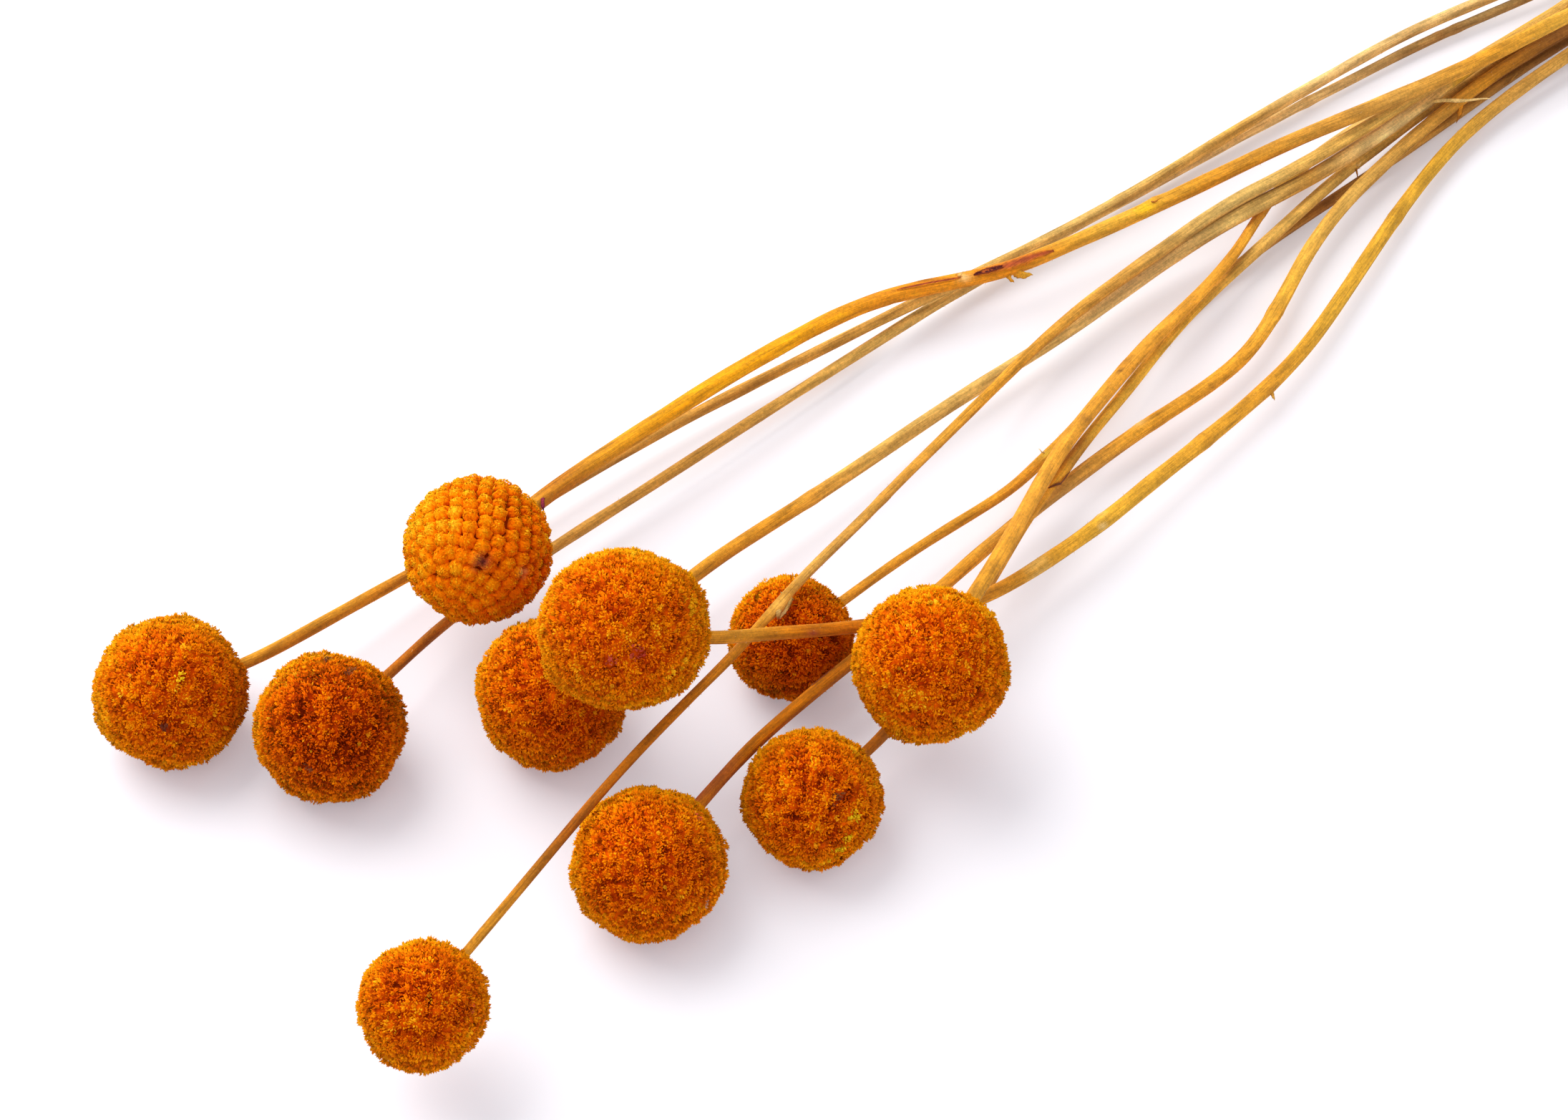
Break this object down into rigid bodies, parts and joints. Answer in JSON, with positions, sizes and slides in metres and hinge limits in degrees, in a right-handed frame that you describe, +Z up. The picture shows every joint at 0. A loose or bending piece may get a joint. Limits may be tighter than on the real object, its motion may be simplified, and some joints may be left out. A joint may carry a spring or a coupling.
{
  "type": "dried flower bunch",
  "caption": "Bunch of dried billy buttons lying down: round floret heads on long thin bent stems that cross and meet under a twine tie",
  "frame": {"origin": "on the table under the middle of the bunch's bounding box", "axes": "+X runs along the stems from the heads to the cut ends, +Y across the bunch, +Z up"},
  "size_m": [0.4324, 0.096, 0.0434],
  "materials": {
    "head_01": "dry matt florets",
    "head_02": "dry matt florets",
    "head_03": "dry matt florets",
    "head_04": "dry matt florets",
    "head_05": "dry matt florets",
    "head_06": "dry matt florets",
    "head_07": "dry matt florets",
    "head_08": "dry matt florets",
    "head_09": "dry matt florets",
    "head_10": "dry matt florets",
    "stem_01": "dry ribbed and slightly fuzzy",
    "stem_02": "dry ribbed and slightly fuzzy",
    "stem_03": "dry ribbed and slightly fuzzy",
    "stem_04": "dry ribbed and slightly fuzzy",
    "stem_05": "dry ribbed and slightly fuzzy",
    "stem_06": "dry ribbed and slightly fuzzy",
    "stem_07": "dry ribbed and slightly fuzzy",
    "stem_08": "dry ribbed and slightly fuzzy",
    "stem_09": "dry ribbed and slightly fuzzy",
    "stem_10": "dry ribbed and slightly fuzzy",
    "tie": "rough natural twine"
  },
  "bodies": {
    "root": {"head_01": "head_01", "head_02": "head_02", "head_03": "head_03", "head_04": "head_04", "head_05": "head_05", "head_06": "head_06", "head_07": "head_07", "head_08": "head_08", "head_09": "head_09", "head_10": "head_10", "stem_01": "stem_01", "stem_02": "stem_02", "stem_03": "stem_03", "stem_04": "stem_04", "stem_05": "stem_05", "stem_06": "stem_06", "stem_07": "stem_07", "stem_08": "stem_08", "stem_09": "stem_09", "stem_10": "stem_10", "tie": "tie"}
  },
  "joints": []
}
